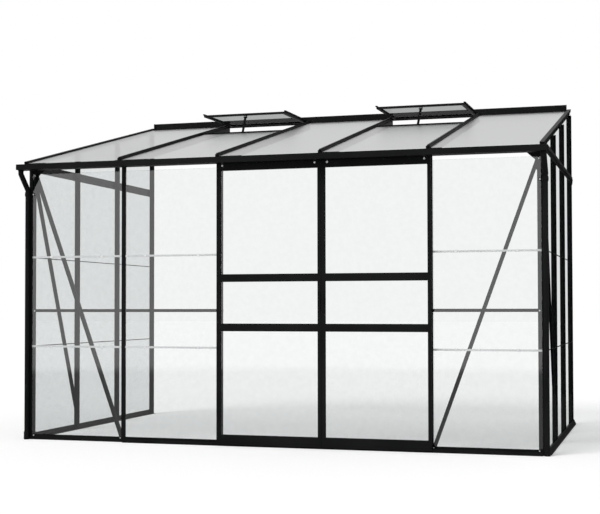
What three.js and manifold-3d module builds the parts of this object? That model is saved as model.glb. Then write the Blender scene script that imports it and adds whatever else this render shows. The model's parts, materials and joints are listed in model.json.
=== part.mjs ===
// Lean-to greenhouse: five bays wide and three deep, two sliding doors, two propped roof vents.
// Millimetres, +Z up. X runs along the front, Y from the front towards the house wall.
// The origin is at the middle of the footprint, on the ground.
import * as THREE from 'three';
import { mergeVertices } from 'three/addons/utils/BufferGeometryUtils.js';
import Module from 'manifold-3d';

const wasm = await Module();
wasm.setup();

// Bays
const bay = 620;
const frontBays = 5;
const sideBays = 3;
const frontLength = frontBays * bay;

// Clearances and stock
const seat = 0.3; // gap where one piece seats on another
const overrun = 5; // how far a cut runs past its piece
const sheet = 2.5; // wall of the extruded sections
const glassThickness = 3;

// Glazing bar section
const capWidth = 24;
const neckWidth = 6;
const webWidth = 8;
const barDepth = 32;
const grooveEnd = sheet + glassThickness + 2 * seat;
const flangeEnd = grooveEnd + sheet;

// Rafters have the same section with a higher cap, so their glass lies deeper
const rafterCap = 10.5;
const rafterDepth = 38;
const innerRafterDepth = 58; // of the rafters between the bays, inside the house
const innerRafterStart = 90; // from the front bars' back to the deeper web
const ribWidth = 10; // a rib runs along the cap of each inner rafter
const ribRise = 7;
const roofGrooveEnd = rafterCap + glassThickness + 2 * seat;
const roofFlangeEnd = roofGrooveEnd + sheet;

// Planes of the walls. The first front bar line is X 0, and the front bars' line is Y 0.
const frontFace = -9; // outer face of the front bars
const gableFace = 15; // distance of the gable bars' outer face beyond the bar line
const gableStart = 4; // Y of the corner posts' gable line
const wallDepth = 28; // from the last gable line to the house wall
const wallLeg = 16; // how far a wall post's leg runs along the house wall
const wallY = gableStart + sideBays * bay + wallDepth;
const frontBack = frontFace + barDepth;

// Sills
const sillHeight = 32.5;
const sillLip = 6; // how far the front sill stands before the bars
const dripReach = 14.2; // how far the gable sill flares out

// Corner posts
const postFlange = 33.6; // inner flange, from the bar line
const postBody = 17; // inner face of the post, from the bar line
const postChamfer = 8;

// Doors
const doorLines = [2, 4]; // the bar lines on both sides of the doorway
const doorLap = 11; // how far a leaf covers the bar line beside it
const meetingGap = 2;
const doorStandOff = 43; // from the bars' face to the doors' face
const doorDepth = 25;
const doorBottom = 10;
const doorHeadroom = 2.5; // between the doors and the track
const stile = 20;
const bottomRail = 55.5;
const middleRail = 43;
const topRail = 42;
const lowerRailFoot = 664.8;
const upperRailFoot = 950.8;
const glassPocket = 8; // how far the door glass enters its frame
const glassSetBack = 14; // from the door's front face to the glass
const grooveFront = 7; // the groove in the bottom rail, from the door's face
const grooveWidth = 10.5;
const grooveDepth = 16;
const guideHeadroom = 6; // between the guide rail and the groove's end
const hangerInset = 36;
const hangerWidth = 30;
const hangerLap = 22; // how far a hanger runs down the door
const hangerClear = 2.5; // between the track and the hangers
const wheelRadius = 11;
const wheelWidth = 9;
const wheelGap = 7.5; // from the gutter's back to a wheel
const axleRadius = 3;
const axleClear = 0.3;
const axleHead = 5;
const axleHeadThickness = 2;
const wheelSides = 24;
const travelStop = 20; // a door stops this short of a whole bay
const gripFoot = 777;
const gripLength = 110;
const gripWidth = 12;
const gripOut = 4;
const gripIn = 12;

// Eaves: gutter and door track in one section
const eaveTop = 1674; // top of the shelf that the rafters stand on
const eaveOverhang = 28.5;
const gutterGap = 16; // between the doors' face and the gutter
const gutterWidth = 75;
const gutterDepth = 38; // from the shelf down to the gutter's underside
const gutterLipDrop = 5.5; // from the shelf down to the gutter's lip
const gutterLip = 6;
const gutterOutlet = 33; // from the gutter's front to its outlet
const trackReach = 24.5; // depth of the door track behind the gutter
const trackDrop = 29; // from the shelf down to the wheels' running surface
const trackLip = 5;

// Glass in the front wall
const frontGlassDrop = 51.5; // from the shelf down to the glass, left open for air
const glassFoot = sheet + 2 * seat;

// Roof
const roofPitch = THREE.MathUtils.degToRad(13.54);
const eaveDrip = 5; // how far the roof reaches over the gutter
const rafterNotch = 81; // the deep web starts here, on the eaves
const panelClear = 2; // roof glass stops this short of the wall plate

// Wall plate
const plateWidth = 17;
const plateRise = 33; // above the rafters
const plateHeight = 54;

// Gable eaves rails
const railRise = 21; // above the shelf
const railHeight = 54;
const railThickness = 3;
const railDrip = 4.5;
const railDripDrop = 27;

// Front mid rails and corner braces
const midRailHeight = 784;
const midRailWidth = 18;
const strip = 3; // thickness of rails, braces and gussets
const gussetReach = 118;
const gussetNeck = 40;
const gussetNeckDepth = 69;
const gussetDepth = 121;
const braceWidth = 22;
const braceLeg = 16; // the braces are angles, with one leg turned inwards
const braceTopInset = 29;
const braceTopDepth = 59;
const frontBraceFootZ = 25;
const sideBraceFootZ = 130;

// Downpipes
const pipeRadius = 14;
const bendRadius = 16;
const pipeInset = 1.5; // behind the gable bars' face
const pipeStandOff = 16.1; // before the front bars' face
const pipeStub = 22;
const pipeBendDrop = 112; // from the gutter down to the lower bend
const collarDrop = 15; // from the lower bend to the collar
const pipeFoot = 12;
const collarRadius = 16.4;
const collarHeight = 26;
const shoeRadius = 17;
const shoeHeight = 46;
const pipeSides = 14;

// Roof vents
const ventBays = [1, 3];
const ventLength = 560;
const ventSideGap = 13; // from the bar line to the vent frame
const ventBar = 20;
const ventDepth = 14;
const ventGlassDrop = 5;
const ventFin = 8; // drip fins stand on both sides of a vent
const ventFinWidth = 5;
const ventLap = 7; // how far the fins reach out over the rafters
const ventLapClear = 1;
const ventOpen = THREE.MathUtils.degToRad(12.66);
const hingeGap = 9; // from the hinge axis to the wall plate
const hingeDrop = 7; // below the rafters' outer face
const noseRadius = 5;
const neckThickness = 4;
const ventBackGap = 9;
const noseSides = 16;
const seatFront = 6; // how far the seat reaches before the hinge axis
const sillShelf = 14;
const sillUpstand = 1.5;
const sillWidth = 28;
const sillDepth = 20;
const ventToSill = 0.6;
const stayWidth = 16;
const stayLength = 114.3; // from its pin to its tip
const stayLean = THREE.MathUtils.degToRad(11); // to one side, seen from the front
const stayThickness = 3;
const stayEye = 5;
const stayClear = 3; // beside the stay, in the sill's notch
const pegHole = 3;
const pegHoles = 3;
const pegSpacing = 24;
const stayPivot = 32; // from the vent's free edge
const stayDrop = 22;
const stayPin = 2.5;
const stayHole = 2.9;
const stayEnds = 8;
const tabWidth = 24;
const tabThickness = 3;
const earThickness = 3;
const earHalf = 6;

// Places that follow from the sizes
const doorway = ((doorLines[0] + doorLines[1]) / 2) * bay;
const leafWidth = ((doorLines[1] - doorLines[0]) / 2) * bay + doorLap - meetingGap / 2;
const travel = bay - travelStop;
const doorFront = frontFace - doorStandOff;
const gutterBack = doorFront - gutterGap;
const gutterFront = gutterBack - gutterWidth;
const gutterBottom = eaveTop - gutterDepth;
const gutterLipTop = eaveTop - gutterLipDrop;
const trackTop = eaveTop - trackDrop;
const trackBack = gutterBack + trackReach;
const doorTop = trackTop - sheet - doorHeadroom;
const axleZ = trackTop + wheelRadius + seat;
const roofFootY = gutterBack - eaveDrip;
const roofFootZ =
  eaveTop + seat + rafterDepth * Math.cos(roofPitch) - rafterNotch * Math.sin(roofPitch);
const plateFace = wallY - plateWidth;
const pipeX = pipeInset - gableFace;
const pipeY = frontFace - pipeStandOff;
const uprightFoot = sheet + seat;
const uprightTop = eaveTop - sheet - seat;

// Materials
const black = { color: 0x161718, roughness: 0.5, metalness: 0.2 };
const pane = { color: 0xd8dddf, roughness: 0.1, metalness: 0 };
const nylon = { color: 0xd0d0cc, roughness: 0.6, metalness: 0 };

const root = new THREE.Group();
root.position.set(-frontLength / 2, -(gutterFront + wallY) / 2, 0);

// Shape tools

function shapeOf(points) {
  return new THREE.Shape(points.map(([a, b]) => new THREE.Vector2(a, b)));
}

function prism(shape, length) {
  return new THREE.ExtrudeGeometry(shape, { depth: length, bevelEnabled: false, steps: 1 });
}

function alongX(points, x0, x1) {
  const turn = new THREE.Matrix4().makeBasis(
    new THREE.Vector3(0, 1, 0),
    new THREE.Vector3(0, 0, 1),
    new THREE.Vector3(1, 0, 0),
  );
  return prism(shapeOf(points), x1 - x0).applyMatrix4(turn).translate(x0, 0, 0);
}

function alongY(points, y0, y1) {
  return prism(shapeOf(points), y1 - y0).rotateX(Math.PI / 2).translate(0, y1, 0);
}

function alongZ(points, z0, z1) {
  return prism(shapeOf(points), z1 - z0).translate(0, 0, z0);
}

function box([x0, x1], [y0, y1], [z0, z1]) {
  const geometry = new THREE.BoxGeometry(x1 - x0, y1 - y0, z1 - z0);
  return geometry.translate((x0 + x1) / 2, (y0 + y1) / 2, (z0 + z1) / 2);
}

function rod(from, to, radius, sides) {
  const a = new THREE.Vector3(...from);
  const b = new THREE.Vector3(...to);
  const axis = b.clone().sub(a);
  const geometry = new THREE.CylinderGeometry(radius, radius, axis.length(), sides);
  const turn = new THREE.Quaternion().setFromUnitVectors(
    new THREE.Vector3(0, 1, 0),
    axis.normalize(),
  );
  const middle = a.add(b).multiplyScalar(1 / 2);
  return geometry.applyQuaternion(turn).translate(middle.x, middle.y, middle.z);
}

function toSolid(geometry) {
  const bare = geometry.clone();
  bare.deleteAttribute('normal');
  bare.deleteAttribute('uv');
  const merged = mergeVertices(bare, 1e-4);
  const solid = new wasm.Mesh({
    numProp: 3,
    vertProperties: new Float32Array(merged.attributes.position.array),
    triVerts: new Uint32Array(merged.index.array),
  });
  return new wasm.Manifold(solid);
}

function toGeometry(solid) {
  const { vertProperties, triVerts } = solid.getMesh();
  const geometry = new THREE.BufferGeometry();
  geometry.setAttribute('position', new THREE.BufferAttribute(vertProperties, 3));
  geometry.setIndex(new THREE.BufferAttribute(triVerts, 1));
  return geometry;
}

function join(...parts) {
  return toGeometry(parts.map(toSolid).reduce((whole, part) => whole.add(part)));
}

function cut(body, ...tools) {
  return toGeometry(tools.map(toSolid).reduce((whole, tool) => whole.subtract(tool), toSolid(body)));
}

function add(group, name, geometry, finish) {
  const mesh = new THREE.Mesh(geometry, new THREE.MeshStandardMaterial(finish));
  mesh.name = name;
  group.add(mesh);
  return mesh;
}

// Both ends of the house are built from one description: side 'left' or 'right'
const sides = ['left', 'right'];

function acrossFront(side, x) {
  return side === 'left' ? x : frontLength - x;
}

function sorted(a, b) {
  return a < b ? [a, b] : [b, a];
}

function spanX(side, x0, x1) {
  return sorted(acrossFront(side, x0), acrossFront(side, x1));
}

function roofTopAt(y) {
  return roofFootZ + (y - roofFootY) * Math.tan(roofPitch);
}

function alongSlope(y) {
  return (y - roofFootY) / Math.cos(roofPitch);
}

// Glazing bars

function barPoints(capEnd, depth) {
  const cap = capWidth / 2;
  const neck = neckWidth / 2;
  const web = webWidth / 2;
  const groove = capEnd + glassThickness + 2 * seat;
  const flange = groove + sheet;
  return [
    [-cap, 0],
    [cap, 0],
    [cap, capEnd],
    [neck, capEnd],
    [neck, groove],
    [cap, groove],
    [cap, flange],
    [web, flange],
    [web, depth],
    [-web, depth],
    [-web, flange],
    [-cap, flange],
    [-cap, groove],
    [-neck, groove],
    [-neck, capEnd],
    [-cap, capEnd],
  ];
}

function frontUpright(name, line) {
  const section = shapeOf(barPoints(sheet, barDepth));
  const bar = add(root, name, prism(section, uprightTop - uprightFoot), black);
  bar.position.set(line * bay, frontFace, uprightFoot);
}

function gableUprightTop(y) {
  const lowest = roofTopAt(y - capWidth / 2) - rafterDepth / Math.cos(roofPitch);
  return lowest - seat;
}

function placeOnGable(mesh, side, y) {
  mesh.position.set(acrossFront(side, -gableFace), y, uprightFoot);
  mesh.rotation.z = side === 'left' ? -Math.PI / 2 : Math.PI / 2;
}

function gableUpright(side, line) {
  const y = gableStart + line * bay;
  const length = gableUprightTop(y) - uprightFoot;
  const section = shapeOf(barPoints(sheet, barDepth));
  const bar = add(root, `${side}_gable_bar_${line}`, prism(section, length), black);
  placeOnGable(bar, side, y);
}

// A wall post has a glass groove on one side and a leg along the house wall on the other
function wallPost(side) {
  const cap = capWidth / 2;
  const web = webWidth / 2;
  const neck = neckWidth / 2;
  const points = [
    [-cap, 0],
    [wallDepth, 0],
    [wallDepth, wallLeg],
    [wallDepth - sheet, wallLeg],
    [wallDepth - sheet, sheet],
    [web, sheet],
    [web, barDepth],
    [-web, barDepth],
    [-web, flangeEnd],
    [-cap, flangeEnd],
    [-cap, grooveEnd],
    [-neck, grooveEnd],
    [-neck, sheet],
    [-cap, sheet],
  ];
  const y = gableStart + sideBays * bay;
  const length = gableUprightTop(y) - uprightFoot;
  const flip = side === 'left' ? -1 : 1;
  const placed = points.map(([a, b]) => [a * flip, b]);
  const post = add(root, `${side}_wall_post`, prism(shapeOf(placed), length), black);
  placeOnGable(post, side, y);
}

function cornerPost(side) {
  const cap = capWidth / 2;
  const outer = -gableFace;
  const points = [
    [outer + postChamfer, frontFace],
    [cap, frontFace],
    [cap, frontFace + sheet],
    [0, frontFace + sheet],
    [0, frontFace + grooveEnd],
    [postFlange, frontFace + grooveEnd],
    [postFlange, frontFace + flangeEnd],
    [postBody, frontFace + flangeEnd],
    [postBody, frontBack],
    [outer + flangeEnd, frontBack],
    [outer + flangeEnd, gableStart + postFlange],
    [outer + grooveEnd, gableStart + postFlange],
    [outer + grooveEnd, gableStart],
    [outer + sheet, gableStart],
    [outer + sheet, gableStart + cap],
    [outer, gableStart + cap],
    [outer, frontFace + postChamfer],
  ];
  const placed = points.map(([x, y]) => [acrossFront(side, x), y]);
  add(root, `${side}_corner_post`, alongZ(placed, uprightFoot, uprightTop), black);
}

// Sills

function frontSill() {
  const sillFront = frontFace - sillLip;
  const section = [
    [sillFront, 0],
    [frontBack, 0],
    [frontBack, sheet],
    [sillFront + sheet, sheet],
    [sillFront + sheet, sillHeight],
    [sillFront, sillHeight],
  ];
  const inset = pipeX + shoeRadius + seat;
  const lip = alongX(section, inset, frontLength - inset);
  const floor = box(
    [-gableFace, frontLength + gableFace],
    [pipeY + shoeRadius + seat, frontBack],
    [0, sheet],
  );
  const finBack = doorFront + grooveFront + (grooveWidth + sheet) / 2;
  const guideTop = doorBottom + grooveDepth - guideHeadroom;
  const guide = [
    [finBack - sheet, 0],
    [sillFront, 0],
    [sillFront, sheet],
    [finBack, sheet],
    [finBack, guideTop],
    [finBack - sheet, guideTop],
  ];
  const reach = meetingGap / 2 + leafWidth + travel;
  const rail = alongX(guide, doorway - reach, doorway + reach);
  add(root, 'front_sill', join(lip, floor, rail), black);
}

function gableSill(side) {
  const outer = -gableFace - seat;
  const section = [
    [outer - sheet - dripReach, 0],
    [frontBack - frontFace - gableFace, 0],
    [frontBack - frontFace - gableFace, sheet],
    [outer, sheet],
    [outer, sillHeight],
    [outer - sheet, sillHeight],
    [outer - sheet - dripReach, sheet],
  ];
  const placed = section.map(([x, z]) => [acrossFront(side, x), z]);
  add(root, `${side}_gable_sill`, alongY(placed, frontBack + seat, wallY), black);
}

// Eaves: the gutter, the shelf that the rafters stand on and the door track

function eaveGutter() {
  const section = [
    [gutterFront, gutterBottom],
    [gutterBack, gutterBottom],
    [gutterBack, trackTop - sheet],
    [trackBack, trackTop - sheet],
    [trackBack, trackTop + trackLip],
    [trackBack - sheet, trackTop + trackLip],
    [trackBack - sheet, trackTop],
    [gutterBack, trackTop],
    [gutterBack, eaveTop - sheet],
    [frontBack, eaveTop - sheet],
    [frontBack, eaveTop],
    [gutterBack - sheet, eaveTop],
    [gutterBack - sheet, gutterBottom + sheet],
    [gutterFront + sheet, gutterBottom + sheet],
    [gutterFront + sheet, gutterLipTop - sheet],
    [gutterFront + gutterLip, gutterLipTop - sheet],
    [gutterFront + gutterLip, gutterLipTop],
    [gutterFront, gutterLipTop],
  ];
  const start = -eaveOverhang;
  const end = frontLength + eaveOverhang;
  const run = alongX(section, start, end);
  const ends = [start, end - sheet].map((x) =>
    box([x, x + sheet], [gutterFront, gutterBack], [gutterBottom, gutterLipTop]),
  );
  add(root, 'eave_gutter', join(run, ...ends), black);
}

// Wall plate, with a seat for the nose of each vent

function hingePlace() {
  const y = plateFace - hingeGap;
  const z = roofTopAt(y) - hingeDrop / Math.cos(roofPitch);
  return [y, z];
}

function wallPlate() {
  const plateTop = roofTopAt(plateFace) + plateRise;
  const plateBottom = plateTop - plateHeight;
  const section = [
    [plateFace, plateBottom],
    [wallY, plateBottom],
    [wallY, plateBottom + sheet],
    [plateFace + sheet, plateBottom + sheet],
    [plateFace + sheet, plateTop - sheet],
    [wallY, plateTop - sheet],
    [wallY, plateTop],
    [plateFace, plateTop],
  ];
  const inset = barDepth - gableFace + seat;
  const run = alongX(section, inset, frontLength - inset);
  const [hingeY, hingeZ] = hingePlace();
  const top = hingeZ - noseRadius - seat;
  const seats = ventBays.map((line) =>
    box(
      [line * bay + ventSideGap, (line + 1) * bay - ventSideGap],
      [hingeY - seatFront, plateFace + sheet],
      [top - sheet, top],
    ),
  );
  add(root, 'wall_plate', join(run, ...seats), black);
}

// Gable eaves rails, outside the bars, with a drip edge

function eavesRail(side) {
  const inner = -gableFace - seat;
  const outer = inner - railThickness;
  const railTop = eaveTop + railRise;
  const railBottom = railTop - railHeight;
  const dripTop = railTop - railDripDrop;
  const section = [
    [inner, railBottom],
    [inner, railTop],
    [outer, railTop],
    [outer - railDrip, dripTop],
    [outer - railDrip, dripTop - sheet],
    [outer, dripTop - sheet],
    [outer, railBottom],
  ];
  const placed = section.map(([x, z]) => [acrossFront(side, x), z]);
  add(root, `${side}_eaves_rail`, alongY(placed, frontBack + strip + seat, wallY), black);
}

function midRail(side, doorLine) {
  const [x0, x1] = spanX(side, 0, doorLine * bay + webWidth / 2);
  const y0 = frontBack + seat;
  const z = [midRailHeight - midRailWidth / 2, midRailHeight + midRailWidth / 2];
  add(root, `front_mid_rail_${side}`, box([x0, x1], [y0, y0 + strip], z), black);
}

// Corner braces: gusset and diagonal on the front, diagonal on the gable, one strap round the post

// A strip between two points, from one distance beside their line to another
function diagonal([a0, z0], [a1, z1], near, far) {
  const run = Math.hypot(a1 - a0, z1 - z0);
  const across = (z1 - z0) / run;
  const up = (a1 - a0) / run;
  return [
    [a0 + across * far, z0 - up * far],
    [a0 + across * near, z0 - up * near],
    [a1 + across * near, z1 - up * near],
    [a1 + across * far, z1 - up * far],
  ];
}

function cornerBrace(side) {
  const x0 = postBody + seat;
  const top = uprightTop;
  const y0 = frontFace + flangeEnd + seat;
  const y1 = frontBack + seat;
  const gableX = flangeEnd + seat - gableFace;
  const footInset = webWidth / 2 + seat + braceWidth / 2;
  const sideTopY = y1 + braceTopInset - postBody;
  const foot = top - gussetDepth;
  const braceTop = top - braceTopDepth;
  const gusset = [
    [x0, top],
    [gussetReach, top],
    [gussetNeck, top - gussetNeckDepth],
    [gussetNeck, foot],
    [x0, foot],
  ];
  const half = braceWidth / 2;
  const frontEnds = [
    [braceTopInset, braceTop],
    [bay - footInset, frontBraceFootZ],
  ];
  const sideEnds = [
    [sideTopY, braceTop],
    [gableStart + bay - footInset, sideBraceFootZ],
  ];
  const onFront = (points) => points.map(([x, z]) => [acrossFront(side, x), z]);
  const gableSpan = spanX(side, gableX, gableX + strip);
  const strapZ = [foot, top];
  const insidePost = box(spanX(side, -bay, x0), [y0 - overrun, y1], [0, eaveTop]);
  const beforePost = box(spanX(side, -bay, bay), [y1 - bay, y1], [0, eaveTop]);
  const legSpan = spanX(side, gableX, gableX + braceLeg);
  const frontAngle = join(
    alongY(onFront(diagonal(...frontEnds, -half, half)), y0, y0 + strip),
    alongY(onFront(diagonal(...frontEnds, -half, strip - half)), y0, y0 + braceLeg),
  );
  const sideAngle = join(
    alongX(diagonal(...sideEnds, -half, half), ...gableSpan),
    alongX(diagonal(...sideEnds, -half, strip - half), ...legSpan),
  );
  const brace = join(
    alongY(onFront(gusset), y0, y0 + strip),
    box(spanX(side, x0, x0 + strip), [y0, y1 + strip], strapZ),
    box(spanX(side, gableX, x0 + strip), [y1, y1 + strip], strapZ),
    box(gableSpan, [y1, sideTopY + half], strapZ),
    cut(frontAngle, insidePost),
    cut(sideAngle, beforePost),
  );
  add(root, `${side}_corner_brace`, brace, black);
}

// Downpipes

function downpipe(side) {
  const x = acrossFront(side, pipeX);
  const outletY = gutterFront + gutterOutlet;
  const outlet = gutterBottom - seat;
  const bend = [x, outletY, outlet - pipeStub];
  const knee = [x, pipeY, gutterBottom - pipeBendDrop];
  const collarTop = gutterBottom - pipeBendDrop - collarDrop;
  const foot = [x, pipeY, pipeFoot];
  const ball = ([bx, by, bz]) =>
    new THREE.SphereGeometry(bendRadius, pipeSides, pipeSides / 2)
      .rotateX(Math.PI / 2)
      .translate(bx, by, bz);
  const pieces = [
    rod([x, outletY, outlet], bend, bendRadius, pipeSides),
    ball(bend),
    rod(bend, knee, bendRadius, pipeSides),
    ball(knee),
    rod(knee, foot, pipeRadius, pipeSides),
    rod([x, pipeY, collarTop], [x, pipeY, collarTop - collarHeight], collarRadius, pipeSides),
    rod([x, pipeY, 0], [x, pipeY, shoeHeight], shoeRadius, pipeSides),
  ];
  add(root, `${side}_downpipe`, join(...pieces), black);
}

// Glass of the walls

function frontGlass(line) {
  const neck = neckWidth / 2 + seat;
  const atLeft = line === 0 ? seat : line * bay + neck;
  const atRight = line === frontBays - 1 ? frontLength - seat : (line + 1) * bay - neck;
  const y0 = frontFace + sheet + seat;
  const z = [glassFoot, eaveTop - frontGlassDrop];
  add(root, `front_glass_${line + 1}`, box([atLeft, atRight], [y0, y0 + glassThickness], z), pane);
}

function gableGlass(side, line) {
  const neck = neckWidth / 2 + seat;
  const y0 = gableStart + line * bay + (line === 0 ? seat : neck);
  const y1 = gableStart + (line + 1) * bay - neck;
  const underRafter = (y) => roofTopAt(y) - (roofFlangeEnd + seat) / Math.cos(roofPitch);
  const clear = frontBack + seat;
  const underEaves = [
    [clear, underRafter(clear)],
    [clear, uprightTop],
    [y0, uprightTop],
  ];
  const outline = [
    [y0, glassFoot],
    [y1, glassFoot],
    [y1, underRafter(y1)],
    ...(line === 0 ? underEaves : [[y0, underRafter(y0)]]),
  ];
  const x = -gableFace + sheet + seat;
  const span = spanX(side, x, x + glassThickness);
  add(root, `${side}_gable_glass_${line + 1}`, alongX(outline, ...span), pane);
}

// Roof, in a group tilted to the pitch: X across, Y up the slope, Z square to the glass

const roof = new THREE.Group();
roof.position.set(0, roofFootY, roofFootZ);
roof.rotation.x = roofPitch;
root.add(roof);

function rafter(line) {
  const atEnd = line === 0 || line === frontBays;
  const reach = atEnd ? wallY : plateFace;
  const depth = atEnd ? rafterDepth : innerRafterDepth;
  const length = alongSlope(reach);
  const bar = prism(shapeOf(barPoints(rafterCap, depth)), length).rotateX(-Math.PI / 2);
  const rib = box([-ribWidth / 2, ribWidth / 2], [0, length], [-rafterCap / 2, ribRise]);
  const wide = [-capWidth, capWidth];
  const under = -depth - overrun;
  const notch = box(wide, [-overrun, rafterNotch], [under, -roofFlangeEnd]);
  const stepEnd = alongSlope(frontBack + innerRafterStart);
  const step = box(wide, [-overrun, stepEnd], [under, -rafterDepth]);
  const plumbEnd = box(wide, [0, 2 * depth], [-2 * depth, 2 * depth])
    .rotateX(-roofPitch)
    .translate(0, alongSlope(reach - seat), 0);
  const whole = atEnd ? bar : join(bar, rib);
  const mesh = add(roof, `rafter_${line + 1}`, cut(whole, notch, step, plumbEnd), black);
  mesh.position.x = line * bay;
}

const hingeAlong = alongSlope(plateFace - hingeGap) - hingeDrop * Math.tan(roofPitch);
const ventFoot = hingeAlong - ventLength;
const sillLine = ventFoot - ventToSill - sheet;

function roofGlass(line) {
  const neck = neckWidth / 2 + seat;
  const z1 = -rafterCap - seat;
  const lean = (glassThickness - z1) * Math.sin(roofPitch);
  const nearPlate = alongSlope(plateFace - panelClear - lean);
  const top = ventBays.includes(line) ? sillLine - seat : nearPlate;
  const across = [line * bay + neck, (line + 1) * bay - neck];
  add(roof, `roof_glass_${line + 1}`, box(across, [0, top], [z1 - glassThickness, z1]), pane);
}

function ventSill(line) {
  const bed = -ventDepth - seat;
  const section = [
    [sillLine - sillShelf, -roofFlangeEnd],
    [sillLine, -roofFlangeEnd],
    [sillLine, -sillDepth],
    [sillLine + sillWidth, -sillDepth],
    [sillLine + sillWidth, bed],
    [sillLine + sheet, bed],
    [sillLine + sheet, -sillUpstand],
    [sillLine, -sillUpstand],
    [sillLine, -roofGrooveEnd],
    [sillLine - sillShelf, -roofGrooveEnd],
  ];
  const inset = capWidth / 2 + seat;
  const bar = alongX(section, line * bay + inset, (line + 1) * bay - inset);
  const stayFoot = (line + 1 / 2) * bay - stayLength * Math.sin(stayLean);
  const half = stayWidth / 2 + stayClear;
  const notch = box(
    [stayFoot - half, stayFoot + half],
    [sillLine + sheet, sillLine + sillWidth + overrun],
    [-sillDepth - overrun, bed + overrun],
  );
  add(roof, `vent_sill_${line + 1}`, cut(bar, notch), black);
}

// A vent turns about its nose: Y runs up the slope to the hinge axis, Z is square to its glass
function vent(line) {
  const group = new THREE.Group();
  group.position.set(line * bay, hingeAlong, -hingeDrop);
  group.rotation.x = -ventOpen;
  roof.add(group);
  const x0 = ventSideGap;
  const x1 = bay - ventSideGap;
  const top = hingeDrop;
  const bottom = hingeDrop - ventDepth;
  const free = -ventLength;
  const back = -ventBackGap;
  const glassTop = top - ventGlassDrop;
  const glassX = [x0 + ventBar / 2, x1 - ventBar / 2];
  const glassY = [free + ventBar / 2, back - ventBar / 2];
  const pocket = [glassTop - glassThickness - seat, glassTop + seat];
  const outer = box([x0, x1], [free, back], [bottom, top]);
  const inner = box(
    [x0 + ventBar, x1 - ventBar],
    [free + ventBar, back - ventBar],
    [bottom - overrun, top + overrun],
  );
  const slot = box(
    [glassX[0] - seat, glassX[1] + seat],
    [glassY[0] - seat, glassY[1] + seat],
    pocket,
  );
  const middle = bay / 2;
  const pivotY = free + stayPivot;
  const pivotZ = hingeDrop - stayDrop;
  const earX0 = middle + stayWidth / 2 + seat;
  const rim = cut(outer, inner, slot);
  const nose = rod([x0, 0, 0], [x1, 0, 0], noseRadius, noseSides);
  const neck = box([x0, x1], [back - seat, 0], [-neckThickness / 2, neckThickness / 2]);
  const tab = box(
    [middle - tabWidth / 2, middle + tabWidth / 2],
    [free + ventBar / 2, pivotY + earHalf],
    [bottom, bottom + tabThickness],
  );
  const ear = box(
    [earX0, earX0 + earThickness],
    [pivotY - earHalf, pivotY + earHalf],
    [pivotZ - earHalf, bottom + tabThickness],
  );
  const pin = rod(
    [earX0 + earThickness, pivotY, pivotZ],
    [middle - stayWidth / 2 - stayPin, pivotY, pivotZ],
    stayPin,
    noseSides,
  );
  const finZ = [bottom, top + ventFin];
  const lapZ = [top + ventLapClear, top + ventFin];
  const fins = [
    box([x0, x0 + ventFinWidth], [free, back], finZ),
    box([x0 - ventLap, x0 + ventFinWidth], [free, back], lapZ),
    box([x1 - ventFinWidth, x1], [free, back], finZ),
    box([x1 - ventFinWidth, x1 + ventLap], [free, back], lapZ),
  ];
  add(group, `vent_frame_${line + 1}`, join(rim, nose, neck, tab, ear, pin, ...fins), black);
  add(group, `vent_glass_${line + 1}`, box(glassX, glassY, [glassTop - glassThickness, glassTop]), pane);
  const stay = add(group, `vent_stay_${line + 1}`, stayBar(), black);
  stay.position.set(middle, pivotY, pivotZ);
  stay.rotation.x = ventOpen - roofPitch;
}

// The stay is a flat bar with an eye and peg holes, and hangs from its pin at the open position
function stayBar() {
  const half = stayWidth / 2;
  const outline = new THREE.Shape();
  outline.moveTo(half, 0);
  outline.lineTo(-half, 0);
  outline.lineTo(-half, half - stayLength);
  outline.absarc(0, half - stayLength, half, Math.PI, 2 * Math.PI, false);
  for (let number = 1; number <= pegHoles; number += 1) {
    const hole = new THREE.Path();
    hole.absarc(0, -number * pegSpacing, pegHole, 0, 2 * Math.PI, true);
    outline.holes.push(hole);
  }
  const options = { depth: stayThickness, bevelEnabled: false, curveSegments: stayEnds };
  const bar = new THREE.ExtrudeGeometry(outline, options)
    .rotateX(Math.PI / 2)
    .translate(0, stayThickness / 2, 0)
    .rotateY(stayLean);
  const eye = rod([-half, 0, 0], [half, 0, 0], stayEye, noseSides);
  const bore = rod([-half - overrun, 0, 0], [half + overrun, 0, 0], stayHole, noseSides);
  return cut(join(bar, eye), bore);
}

// Sliding doors

function rectangle([x0, x1], [z0, z1]) {
  return [
    [x0, z0],
    [x1, z0],
    [x1, z1],
    [x0, z1],
  ];
}

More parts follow.
